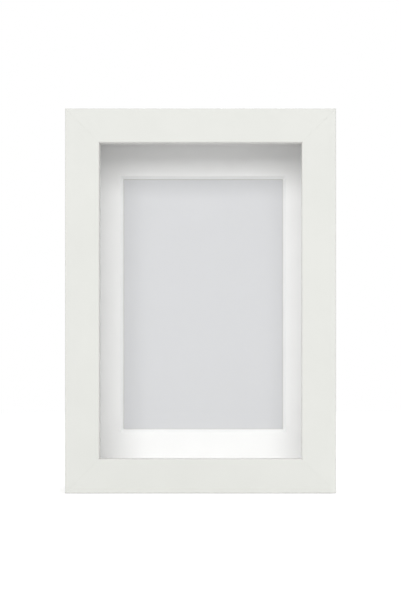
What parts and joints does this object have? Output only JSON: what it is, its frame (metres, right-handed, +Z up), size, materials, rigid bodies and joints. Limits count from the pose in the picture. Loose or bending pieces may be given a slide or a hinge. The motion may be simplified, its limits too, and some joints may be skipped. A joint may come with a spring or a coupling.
{
  "type": "shadow box",
  "caption": "Deep white box frame with mitred rails, clear front, bevel-cut window mat over a plain grey card, lift-out back, bendable tabs and swinging hanger rings.",
  "frame": {"origin": "middle of the surface that the frame stands on when it is upright", "axes": "+X across the frame to the right as seen from the front, +Y from the front to the back, +Z up"},
  "size_m": [0.119, 0.045, 0.169],
  "materials": {
    "moulding": "fibreboard wrapped in satin white foil",
    "clear_glass": "polished, clear",
    "spacer_board": "matt white board",
    "mat_board": "matt white board with a white core",
    "grey_card": "matt light grey",
    "hardboard": "bare brown hardboard",
    "bright_steel": "bright, cut ends",
    "tab_steel": "zinc plated",
    "plated_steel": "nickel plated"
  },
  "bodies": {
    "frame": {"bottom_rail": "moulding", "top_rail": "moulding", "left_rail": "moulding", "right_rail": "moulding", "corner_v_nails": "bright_steel", "glazing_sheet": "clear_glass", "spacer_bottom": "spacer_board", "spacer_top": "spacer_board", "spacer_left": "spacer_board", "spacer_right": "spacer_board"},
    "back": {"back_panel": "hardboard", "hanger_plate_top": "plated_steel", "hanger_plate_side": "plated_steel", "hanger_rivets": "plated_steel"},
    "insert": {"display_insert": "grey_card"},
    "mat": {"window_mat": "mat_board"},
    "ring_top": {"hanger_ring_top": "plated_steel"},
    "ring_side": {"hanger_ring_side": "plated_steel"},
    "tab_bottom": {"tab_bottom": "tab_steel"},
    "tab_top": {"tab_top": "tab_steel"},
    "tab_left_upper": {"tab_left_upper": "tab_steel"},
    "tab_left_lower": {"tab_left_lower": "tab_steel"},
    "tab_right_upper": {"tab_right_upper": "tab_steel"},
    "tab_right_lower": {"tab_right_lower": "tab_steel"}
  },
  "joints": [
    {"name": "back_slide", "type": "slide", "parent": "frame", "child": "back", "axis": [0, 1, 0], "range_m": [0, 0.075]},
    {"name": "insert_slide", "type": "slide", "parent": "frame", "child": "insert", "axis": [0, 1, 0], "range_m": [0, 0.054]},
    {"name": "mat_slide", "type": "slide", "parent": "frame", "child": "mat", "axis": [0, 1, 0], "range_m": [0, 0.036]},
    {"name": "ring_top_swing", "type": "hinge", "parent": "back", "child": "ring_top", "pos_m": [0, 0.0162, 0.129], "axis": [1, 0, 0], "range_deg": [0, 180]},
    {"name": "ring_side_swing", "type": "hinge", "parent": "back", "child": "ring_side", "pos_m": [0.0335, 0.0162, 0.084], "axis": [0, 0, -1], "range_deg": [0, 180]},
    {"name": "tab_bottom_bend", "type": "hinge", "parent": "frame", "child": "tab_bottom", "pos_m": [0, 0.0148, 0.008], "axis": [-1, 0, 0], "range_deg": [0, 85], "deforming": ["tab_bottom"]},
    {"name": "tab_top_bend", "type": "hinge", "parent": "frame", "child": "tab_top", "pos_m": [0, 0.0148, 0.161], "axis": [1, 0, 0], "range_deg": [0, 85], "deforming": ["tab_top"]},
    {"name": "tab_left_upper_bend", "type": "hinge", "parent": "frame", "child": "tab_left_upper", "pos_m": [-0.0515, 0.0148, 0.1265], "axis": [0, 0, 1], "range_deg": [0, 85], "deforming": ["tab_left_upper"]},
    {"name": "tab_left_lower_bend", "type": "hinge", "parent": "frame", "child": "tab_left_lower", "pos_m": [-0.0515, 0.0148, 0.0425], "axis": [0, 0, 1], "range_deg": [0, 85], "deforming": ["tab_left_lower"]},
    {"name": "tab_right_upper_bend", "type": "hinge", "parent": "frame", "child": "tab_right_upper", "pos_m": [0.0515, 0.0148, 0.1265], "axis": [0, 0, -1], "range_deg": [0, 85], "deforming": ["tab_right_upper"]},
    {"name": "tab_right_lower_bend", "type": "hinge", "parent": "frame", "child": "tab_right_lower", "pos_m": [0.0515, 0.0148, 0.0425], "axis": [0, 0, -1], "range_deg": [0, 85], "deforming": ["tab_right_lower"]}
  ],
  "couplings": [
    {"joint": "insert_slide", "follows": "back_slide", "ratio": 0.72},
    {"joint": "mat_slide", "follows": "back_slide", "ratio": 0.48}
  ]
}
